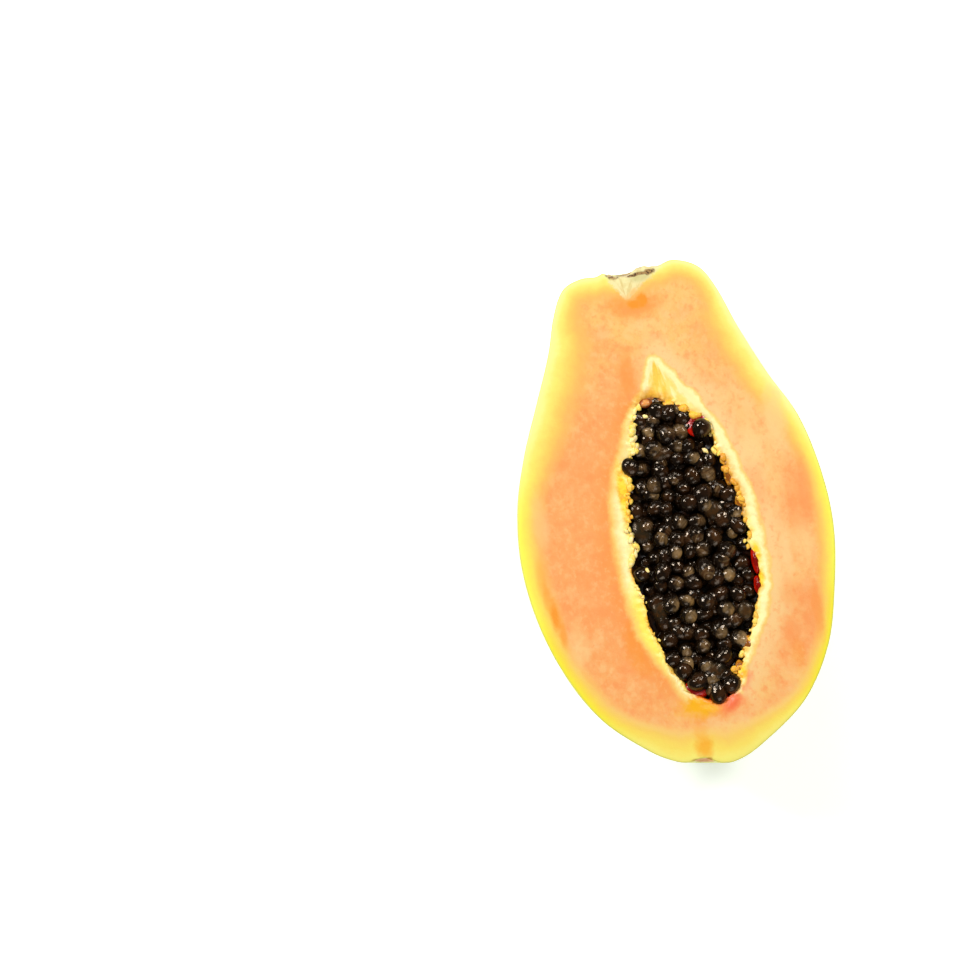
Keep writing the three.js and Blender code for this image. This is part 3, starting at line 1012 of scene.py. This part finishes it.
# Painted glow: the side of each seed where light coming through the sac is painted as a golden edge.
PAINTED_GLOW_SIDE = Vector((0.62, -0.66, 0.42))


def number_source(start):
    """A repeatable draw of numbers from 0 to 1."""
    state = start
    while True:
        state = (state * DRAW_FACTOR + DRAW_STEP) % DRAW_RANGE
        yield state / DRAW_RANGE


def seed_places(start, stations, drop, clearance):
    """Staggered rows across the hollow, each seed off its place at random."""
    draw = number_source(start)
    first, last = stations
    rows = round((last - first) / SEED_ROW_STEP)
    table = hollow_sections(np.linspace(0, 1, TABLE_STEPS + 1))
    for row in range(rows + 1):
        row_station = first + (last - first) * row / rows
        middle, half = (np.interp(row_station, table[0], column) for column in table[1:])
        room = max(half - SEED_RADIUS - clearance, 0)
        count = int(2 * room / SEED_STEP) + 1
        stagger = (row % 2 - 0.5) / 2 if count > 1 else 0
        for seed in range(count):
            place = SEED_STEP * (seed - (count - 1) / 2 + stagger)
            offset = min(max(place + SEED_SCATTER * (next(draw) - 0.5), -room), room)
            share = offset / room if room > 0 else 0
            station = row_station + SEED_SCATTER * (next(draw) - 0.5)
            height = SEED_HEIGHT + SEED_HEIGHT_SPREAD * (next(draw) - 0.5)
            height += SEED_DOME * (1 - 2 * share * share) - drop
            yield (middle + offset, station, height), next(draw), next(draw)


def berry(name, radius, facets, lumps, stretch, start):
    """A ball with a lumpy surface, drawn out along Y, as points in mm round its middle."""
    bpy.ops.object.select_all(action="DESELECT")
    bpy.ops.mesh.primitive_ico_sphere_add(subdivisions=facets, radius=radius)
    shape = bpy.context.object
    shape.name = name
    points = places_of(shape)
    outward = points / np.linalg.norm(points, axis=1)[:, None]
    relief = sum(height * waves(points, size, start) for height, size in lumps)
    put_places(shape, (points + outward * relief[:, None]) * [1, stretch, 1])
    return shape


def seed_shapes(facets):
    """The few shapes that stand for all seeds, from round to long."""
    for number in range(SEED_SHAPES):
        stretch = between(SEED_STRETCHES, number / (SEED_SHAPES - 1))
        start = SEED_SHAPE_STEP * number
        yield berry(f"seed_shape_{number}", SEED_RADIUS, facets, SEED_LUMPS, stretch, start)


def copy_of(shape):
    """A copy of a shape, with a mesh of its own."""
    twin = shape.copy()
    twin.data = twin.data.copy()
    bpy.context.scene.collection.objects.link(twin)
    return twin


def seed_copies(facets, places, start, most_painted_light, sizes):
    """A copy of one of the shapes at each place, turned, leaned and sized its own way."""
    draw = number_source(start)
    shapes = list(seed_shapes(facets))
    for place, turn, tilt in places:
        seed = copy_of(shapes[int(next(draw) * len(shapes))])
        spin = Matrix.Rotation(turn * 2 * math.pi, 4, "Z")
        lean = Matrix.Rotation((tilt - 0.5) * SEED_TILT, 4, "X")
        size = Matrix.Scale(between(sizes, next(draw)), 4)
        seed.data.transform(spin @ lean @ size)
        points = places_of(seed)
        outward = points / np.linalg.norm(points, axis=1)[:, None]
        # Painted light: each seed keeps how far each point faces the side painted as lit and the side
        # painted with a golden glow.
        wander = Vector((next(draw) - 0.5, next(draw) - 0.5, 0)) * 2 * PAINTED_LIGHT_WANDER
        paint(seed, "painted_light", outward @ np.array((PAINTED_LIGHT_SIDE + wander).normalized()))
        paint(seed, "amber", outward @ np.array((PAINTED_GLOW_SIDE + wander).normalized()))
        paint(seed, "lengthwise", points @ np.array((spin @ lean).col[1][:3]))
        # Tint: drawn at random for each seed, it scales the seed's painted light, and is capped low for
        # seeds painted in shade.
        paint(seed, "tint", np.full(len(points), next(draw) * most_painted_light))
        put_places(seed, row_frame(points + place))
        yield seed
    for shape in shapes:
        bpy.data.objects.remove(shape)


# The sac's colours: near-black, brown to grey for its painted lit side, and gold for its painted glow.
SAC_BLACK = tone(18, 9, 3)
SAC_BROWN = tone(84, 48, 18)
SAC_PAINTED_LIGHT_GREY = tone(150, 120, 80)
SAC_PAINTED_GLOW = tone(214, 164, 96)
SAC_SHEEN = (1.0, 0.80, 0.60, 1.0)


def seed_finish():
    """A dark ridged seed seen through a wet sac, painted paler on its lit side and with a painted golden
    glow at one edge.
    """
    surface = {
        "Specular IOR Level": 0.42,
        "IOR": 1.5,
        "Specular Tint": SAC_SHEEN,
        "Coat Weight": 0.15,
        "Coat Roughness": 0.04,
    }
    seed = Finish("seed_sac", surface)
    tint = seed.number("tint")
    warts = seed.grain(0.9, 3, 0.6)
    wrinkles = seed.grain(1.5, 2, 0.55)
    clouds = seed.grain(2.4, 3, 0.6)
    along = seed.number("lengthwise") / 0.55
    rings = seed.node("ShaderNodeCombineXYZ", sockets={0: along, 1: tint * 40, 2: clouds * 2})
    ridges = seed.node("ShaderNodeTexNoise", sockets={"Vector": rings, "Scale": 1.0, "Detail": 1.5})
    # Painted light: the sac goes from near-black away from the lights to brown and grey on the side turned
    # to them.
    lit = seed.rise(seed.number("painted_light") + (clouds - 0.5) * 1.2, 0.56, 1.08)
    sac = seed.blend(SAC_BROWN, SAC_PAINTED_LIGHT_GREY, seed.rise(tint + (ridges - 0.5) * 1.1, 0.28, 0.85))
    colour = seed.blend(SAC_BLACK, sac, lit * (0.30 + tint * 0.70))
    # Painted glow: a golden edge on the lighter-tinted seeds, on their side away from the lights, as light
    # through the sac.
    painted_glow = seed.rise(seed.number("amber") + (ridges - 0.5) * 0.35, 0.74, 1.04)
    colour = seed.blend(colour, SAC_PAINTED_GLOW, painted_glow * seed.rise(tint, 0.5, 0.9) * 0.6)
    seed.wear("Base Color", colour)
    seed.wear("Roughness", 0.06 + clouds * 0.12)
    seed.bump(wrinkles * 0.7 + ridges * 0.25 + warts * 0.16, 1.0, 0.30)
    return seed.material


seed_material = seed_finish()
upper_places = seed_places(RANDOM_START, SEED_STATIONS, 0, SEED_WALL_CLEARANCE)
lower_places = seed_places(LOWER_START, LOWER_STATIONS, LOWER_DROP, LOWER_WALL_CLEARANCE)
seeds = list(seed_copies(SEED_FACETS[0], upper_places, RANDOM_START + 1, 1.0, SEED_SIZES))
seeds += seed_copies(SEED_FACETS[0], END_SEEDS, END_START, END_SHADED_TINT, END_SIZES)
seeds += seed_copies(SEED_FACETS[1], lower_places, LOWER_START + 1, LOWER_SHADED_TINT, SEED_SIZES)
for seed in seeds:
    seed.data.materials.append(seed_material)

JELLY_DROP = 6.6
JELLY_DROP_RATIO = 0.8
JELLY_TUCK = 0.6  # how far its sides reach into the wall
JELLY_THICKNESS = 1.2
JELLY_CELLS = (130, 50)
JELLY_RUN = (0.07, 0.89)
JELLY_WAVES = ((1.6, 4.5), (0.5, 1.8))
# Painted shade: the jelly under the seeds is near-black and dark brown, as the shade in the gaps between
# them.
JELLY_SHADE_BLACK = tone(12, 7, 4)
JELLY_SHADE_BROWN = tone(58, 32, 12)
JELLY_AMBER = tone(128, 74, 22)


def jelly_shade_finish():
    """Jelly under the seeds, painted near-black and brown as the shade in their gaps, with amber in it here
    and there.
    """
    jelly = Finish("jelly_shade_sheet", {"Specular IOR Level": 0.25})
    clouds = jelly.grain(4, 3, 0.6)
    broad = jelly.grain(13, 2, 0.5)
    colour = jelly.blend(JELLY_SHADE_BLACK, JELLY_SHADE_BROWN, jelly.rise(clouds, 0.42, 0.62))
    colour = jelly.blend(colour, JELLY_AMBER, jelly.rise(broad + (clouds - 0.5) * 0.6, 0.56, 0.74) * 0.8)
    jelly.wear("Base Color", colour)
    jelly.wear("Roughness", 0.25 + clouds * 0.3)
    jelly.bump(jelly.grain(1.4, 2, 0.6), 0.6, 0.5)
    return jelly.material


def jelly_points(along, across):
    """The jelly's top, a lumpy sheet from wall to wall of the hollow."""
    station, middle, half = hollow_sections(between(JELLY_RUN, along))
    drop = np.minimum(JELLY_DROP, JELLY_DROP_RATIO * half)
    reach = half * np.sqrt(np.maximum(1 - (drop / np.maximum(half, 0.1)) ** 2, 0))
    sheet = np.stack([middle + (reach + JELLY_TUCK) * (2 * across - 1), station, -drop], axis=1)
    lumps = sum(height * waves(sheet, size) for height, size in JELLY_WAVES)
    sheet[:, 2] += lumps * np.minimum(drop / JELLY_DROP, 1)
    return sheet


# Smoky veils of jelly over the seeds: middle and radii.
JELLY_VEILS = (
    ((-8.8, 82.5, -2.0), (4.6, 5.6, 2.4)),
    ((8.6, 30.2, -1.8), (5.0, 4.0, 2.4)),
    ((1.4, 108.4, -2.2), (5.0, 3.6, 2.4)),
    ((-7.0, 54.0, -2.2), (3.6, 5.6, 2.4)),
    ((22.6, 49.4, -2.2), (3.4, 4.6, 2.4)),
    ((17.0, 86.0, -2.6), (4.4, 4.4, 2.4)),
)
VEIL_LUMPS = ((0.14, 0.9), (0.05, 0.4))
DROP_FACETS = 3
DROP_SHAPE_STEP = 5.7
VEIL_SMOKE = tone(44, 36, 22)
VEIL_BROWN = tone(70, 44, 18)


def veil_finish():
    """Smoky jelly over a few seeds, clear towards its outline."""
    veil = Finish("jelly_veil", {"Specular IOR Level": 0.35, "Specular Tint": SAC_SHEEN})
    clouds = veil.grain(2.2, 3, 0.6)
    veil.wear("Base Color", veil.blend(VEIL_SMOKE, VEIL_BROWN, veil.rise(clouds, 0.42, 0.62)))
    veil.wear("Alpha", (1 - veil.rise(veil.number("thinness") + (clouds - 0.5) * 0.6, 0.35, 0.95)) * 0.8)
    veil.wear("Roughness", 0.12 + clouds * 0.2)
    veil.bump(clouds, 0.5, 0.3)
    return veil.material


def jelly_drop(name, number, middle, radii, lumps):
    """A flat lump of jelly at its place, that knows how thin it is towards its outline."""
    body = berry(f"{name}_{number}", 1.0, DROP_FACETS, lumps, 1.0, DROP_SHAPE_STEP * number)
    points = places_of(body)
    paint(body, "thinness", np.hypot(points[:, 0], points[:, 1]))
    put_places(body, row_frame(points * radii + middle))
    return body


veils = [jelly_drop("veil", number, *place, VEIL_LUMPS) for number, place in enumerate(JELLY_VEILS)]
veil_material = veil_finish()
for veil in veils:
    veil.data.materials.append(veil_material)

jelly_shade_sheet = wrapped_grid("jelly_shade_sheet", *JELLY_CELLS, jelly_points)
jelly_shade_sheet.data.materials.append(jelly_shade_finish())
bpy.ops.object.modifier_add(type="SOLIDIFY")
jelly_shade_sheet.modifiers[-1].thickness = JELLY_THICKNESS * MM
bpy.ops.object.modifier_apply(modifier=jelly_shade_sheet.modifiers[-1].name)


def heaped(name, pieces):
    """Small pieces as one piece, each still closed, with smooth shading."""
    select_only(*pieces)
    bpy.ops.object.join()
    heap = bpy.context.object
    heap.name = name
    bpy.ops.object.shade_smooth()
    return heap


seed_heap = heaped("seed_heap", [*seeds, *veils, jelly_shade_sheet])
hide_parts("seeds")
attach(seed_heap, "root")

# The torn pulp
# Where the knife and the seeds tore the hollow's wall, soft yellow and cream shreds stand between
# the lining and the seeds. They are lumps of wet pulp, stuck to the wall side by side.
PULP_SHAPES = 8
PULP_FACETS = 2
PULP_RADIUS = 1.0
PULP_LUMPS = ((0.55, 1.1), (0.25, 0.5))
PULP_SHAPE_STEP = 3.1

# Shreds along the wall: side, first and last station, how many, their sizes and their hue.
PULP_ZONES = (
    (-1, (107.0, 126.0), 13, (0.8, 1.4), 0.1),
    (-1, (97.0, 103.0), 4, (0.6, 1.0), 0.5),
    (-1, (86.0, 98.0), 10, (0.5, 1.0), 0.8),
    (-1, (72.0, 85.0), 11, (0.5, 1.1), 0.0),
    (-1, (56.0, 66.0), 5, (0.4, 0.8), 0.2),
    (-1, (34.0, 52.0), 5, (0.3, 0.6), 0.4),
    (1, (27.0, 31.0), 4, (0.9, 1.5), 1.0),
    (1, (34.0, 52.0), 10, (0.4, 1.1), 0.5),
    (1, (70.0, 82.0), 6, (0.4, 0.9), 0.7),
    (1, (83.0, 104.0), 13, (0.6, 1.2), 1.3),
    (1, (104.0, 118.0), 8, (0.5, 1.1), 0.2),
    (1, (118.0, 127.0), 4, (1.2, 1.9), 1.3),
)
PULP_STRETCH = (0.9, 1.9)
PULP_FLATNESS = 0.7
PULP_REACH = (-0.6, 0.9)
PULP_HEIGHTS = (-0.7, -1.9)
PULP_TURN = 1.8
PULP_HUE_SPREAD = 0.6
NEAR_WALL = 1.5  # a power that draws the shreds towards the wall
MOSTLY_SMALL = 1.3  # a power that keeps most shreds small
PULP_START = 4409
EDGE_PROBE = (0, 0.5)  # two stations that give the edge's direction between them
BIT_PLACES = ((-1.5, 122.1), (-5.2, 122.4), (-9.2, 68.5), (17.5, 107.0), (12.6, 34.0))
BIT_HEIGHT = -0.4
BIT_SIZE = 0.7
BIT_HUE = 0.3
PULP_CREAM = tone(274, 246, 168)
PULP_LEMON = tone(272, 234, 108)
PULP_GOLD = tone(266, 204, 68)
PULP_AMBER = tone(240, 168, 44)


def pulp_finish():
    """Wet pulp, from cream over lemon and gold to amber, each shred with its own hue."""
    surface = {
        "Specular IOR Level": 0.35,
        "Subsurface Weight": 0.3,
        "Subsurface Radius": (2.0 * MM, 1.0 * MM, 0.3 * MM),
    }
    pulp = Finish("torn_pulp", surface)
    zone = 0.36 + (pulp.grain(1.4, 3, 0.6) - 0.5) * 0.4 + pulp.number("hue") * 0.26
    colour = pulp.blend(PULP_CREAM, PULP_LEMON, pulp.rise(zone, 0.40, 0.52))
    colour = pulp.blend(colour, PULP_GOLD, pulp.rise(zone, 0.52, 0.64))
    pulp.wear("Base Color", pulp.blend(colour, PULP_AMBER, pulp.rise(zone, 0.66, 0.80)))
    pulp.wear("Roughness", 0.3 + pulp.grain(1.0) * 0.2)
    pulp.bump(pulp.grain(0.9, 3, 0.6), 0.5, 0.25)
    return pulp.material


def wall_places(draw):
    """Places along the torn edge, with the edge's direction, the lump's size and its hue."""
    for side, (first, last), count, sizes, hue in PULP_ZONES:
        for number in range(count):
            ends = first + (last - first) * (number + next(draw)) / count + np.array(EDGE_PROBE)
            edge = np.stack([torn_edge(ends)[(side + 1) // 2], ends], axis=1)
            along = (edge[1] - edge[0]) / np.linalg.norm(edge[1] - edge[0])
            inwards = np.array([-along[1], along[0]]) * side
            share = next(draw) ** NEAR_WALL
            place = (*(edge[0] + inwards * between(PULP_REACH, share)), between(PULP_HEIGHTS, share))
            size = between(sizes, next(draw) ** MOSTLY_SMALL)
            turn = math.atan2(along[1], along[0])
            yield place, turn, size, hue + next(draw) * PULP_HUE_SPREAD


def pulp_shreds():
    """Shreds along the wall, drawn out along or across it, and a few bits on the seeds."""
    draw = number_source(PULP_START)
    shapes = [
        berry(f"pulp_shape_{n}", PULP_RADIUS, PULP_FACETS, PULP_LUMPS, 1.0, PULP_SHAPE_STEP * n)
        for n in range(PULP_SHAPES)
    ]
    bits = [((*place, BIT_HEIGHT), next(draw) * math.pi, BIT_SIZE, BIT_HUE) for place in BIT_PLACES]
    for place, turn, size, hue in [*wall_places(draw), *bits]:
        shred = copy_of(shapes[int(next(draw) * PULP_SHAPES)])
        stretch = between(PULP_STRETCH, next(draw))
        grown = Matrix.Diagonal((size * stretch, size, size * PULP_FLATNESS, 1))
        turned = Matrix.Rotation(turn + (next(draw) - 0.5) * PULP_TURN, 4, "Z")
        shred.data.transform(turned @ grown)
        points = places_of(shred)
        paint(shred, "hue", np.full(len(points), hue))
        put_places(shred, row_frame(points + place))
        yield shred
    for shape in shapes:
        bpy.data.objects.remove(shape)


shreds = list(pulp_shreds())
pulp_material = pulp_finish()
for shred in shreds:
    shred.data.materials.append(pulp_material)
torn_pulp = heaped("torn_pulp", shreds)
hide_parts("seeds")
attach(torn_pulp, "root")

# The red and amber jelly
# Clots of wet red and amber jelly between the outer seeds and the wall, darker in the middle, and
# an empty seed sac with a dark rim at the top left of the heap. Each is modelled as a flat lump.
RED_CLOTS = (
    ((16.9, 116.4, -1.9), (4.8, 4.4, 1.7)),
    ((28.9, 66.6, -2.6), (1.5, 4.8, 1.9)),
    ((28.5, 57.8, -3.0), (1.5, 3.4, 1.9)),
    ((1.6, 25.2, -2.6), (5.0, 3.4, 2.0)),
    ((14.6, 23.9, -2.9), (3.0, 2.6, 2.0)),
    ((8.6, 20.9, -2.9), (3.4, 2.0, 1.8)),
)
AMBER_CLOTS = (
    ((26.4, 88.6, -2.3), (1.5, 5.0, 1.8)),
    ((24.2, 97.6, -2.5), (1.5, 4.2, 1.8)),
    ((21.6, 37.6, -1.9), (2.3, 3.4, 1.7)),
    ((17.6, 30.4, -2.2), (1.8, 2.4, 1.8)),
    ((10.0, 123.4, -2.6), (4.2, 1.8, 1.8)),
    ((0.6, 127.0, -2.4), (3.4, 1.8, 1.8)),
)
CLOT_LUMPS = ((0.16, 0.8), (0.06, 0.35))
EMPTY_SAC = ((-0.6, 126.6, -0.8), (2.2, 1.6, 1.4))
CLOT_RED = tone(216, 26, 2)
CLOT_DARK = tone(138, 8, 2)
CLOT_AMBER = tone(224, 146, 36)
CLOT_BROWN = tone(150, 84, 20)
SAC_SKIN = tone(236, 160, 84)
SAC_RIM = tone(150, 62, 20)


def clear_jelly_finish(name, middle_tone, edge_tone):
    """Wet jelly, one colour in its middle and another where it thins out."""
    surface = {
        "Specular IOR Level": 0.3,
        "Subsurface Weight": 0.25,
        "Subsurface Radius": (2 * MM, 0.3 * MM, 0.2 * MM),
    }
    jelly = Finish(name, surface)
    clouds = jelly.grain(1.6, 3, 0.6)
    thinness = jelly.rise(jelly.number("thinness") + (clouds - 0.5) * 0.9, 0.45, 1.0)
    jelly.wear("Base Color", jelly.blend(middle_tone, edge_tone, thinness))
    jelly.wear("Roughness", 0.12 + clouds * 0.15)
    jelly.bump(clouds, 0.6, 0.3)
    return jelly.material


def clots(name, places, finish):
    """A lump of jelly at each of these places, all in one finish."""
    for number, (middle, radii) in enumerate(places):
        clot = jelly_drop(name, number, middle, radii, CLOT_LUMPS)
        clot.data.materials.append(finish)
        yield clot


jellies = [
    *clots("red_clot", RED_CLOTS, clear_jelly_finish("red_jelly", CLOT_DARK, CLOT_RED)),
    *clots("amber_clot", AMBER_CLOTS, clear_jelly_finish("amber_jelly", CLOT_BROWN, CLOT_AMBER)),
    *clots("empty_sac", (EMPTY_SAC,), clear_jelly_finish("empty_sac", SAC_SKIN, SAC_RIM)),
]
red_jelly = heaped("red_jelly", jellies)
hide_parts("seeds")
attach(red_jelly, "root")

# The floor, the light and the camera
# A plain white floor under soft studio light: a softbox at each side, and a weaker one past each end
# of the fruit. The camera looks down on the cut face, which leans a little to the left in the picture.
FLOOR_SIZE = 6.0
FLOOR_GLOW = 0.36
CARD_WHITES = ((0.93, 0.93, 0.93, 1), (0.96, 0.96, 0.955, 1))
WHITE = (1, 1, 1, 1)
LEAN = math.radians(8.83)
CAMERA_DISTANCE = 1.25
CAMERA_RISE = math.radians(85)
PIXEL = 0.35 * MM
FRAME_PIXELS = 960
BLOSSOM_PIXEL = (703, 760)
FILM_WIDTH = 36.0


def floor_finish():
    """Matt white card, bright enough to melt into the background."""
    surface = {
        "Specular IOR Level": 0.2,
        "Roughness": 0.9,
        "Emission Color": WHITE,
        "Emission Strength": FLOOR_GLOW,
    }
    card = Finish("white_card", surface)
    card.wear("Base Color", card.blend(*CARD_WHITES, card.grain(30, 3, 0.5)))
    return card.material


bpy.ops.object.select_all(action="DESELECT")
bpy.ops.mesh.primitive_plane_add(size=FLOOR_SIZE)
floor = bpy.context.object
floor.name = "floor"
floor.data.materials.append(floor_finish())

picture_right = Vector((math.cos(LEAN), -math.sin(LEAN), 0))
picture_up = Vector((math.sin(LEAN), math.cos(LEAN), 0))
blossom = Vector(row_frame(np.array([0.0, 0.0, 0.0])))
to_middle = (
    picture_right * (FRAME_PIXELS / 2 - BLOSSOM_PIXEL[0]) * PIXEL
    + picture_up * (BLOSSOM_PIXEL[1] - FRAME_PIXELS / 2) * PIXEL
)
aim = blossom + to_middle
backwards = Vector((0, 0, math.sin(CAMERA_RISE))) - picture_up * math.cos(CAMERA_RISE)
camera_data = bpy.data.cameras.new("camera")
camera_data.sensor_width = FILM_WIDTH
camera_data.lens = FILM_WIDTH * CAMERA_DISTANCE / (FRAME_PIXELS * PIXEL)
camera = bpy.data.objects.new("camera", camera_data)
bpy.context.scene.collection.objects.link(camera)
camera.location = aim + backwards * CAMERA_DISTANCE
camera_up = backwards.cross(picture_right)
camera.matrix_world = Matrix.Translation(camera.location) @ Matrix(
    (picture_right, camera_up, backwards)
).transposed().to_4x4()
bpy.context.scene.camera = camera

# Each softbox: name, place, size in metres and power in watts. They all face the middle of the fruit.
LIT_POINT = Vector((0, 0, 0.03))
SKY_STRENGTH = 0.12
SOFTBOXES = (
    ("left_softbox", (-0.80, 0.55, 0.95), (0.30, 0.40), 13.2),
    ("top_softbox", (-0.10, 1.05, 0.90), (0.60, 0.30), 4.0),
    ("right_softbox", (0.72, 0.55, 0.95), (0.24, 0.36), 9.0),
    ("foot_softbox", (0.15, -1.00, 0.80), (0.90, 0.60), 4.4),
)
for name, place, size, power in SOFTBOXES:
    light_data = bpy.data.lights.new(name, "AREA")
    light_data.shape = "RECTANGLE"
    light_data.size, light_data.size_y = size
    light_data.energy = power
    light = bpy.data.objects.new(name, light_data)
    bpy.context.scene.collection.objects.link(light)
    light.location = place
    light.rotation_euler = (LIT_POINT - light.location).to_track_quat("-Z", "Y").to_euler()

world = bpy.data.worlds.new("studio")
world.use_nodes = True
sky = world.node_tree.nodes["Background"]
sky.inputs["Color"].default_value = WHITE
sky.inputs["Strength"].default_value = SKY_STRENGTH
bpy.context.scene.world = world
bpy.context.scene.view_settings.view_transform = "Standard"
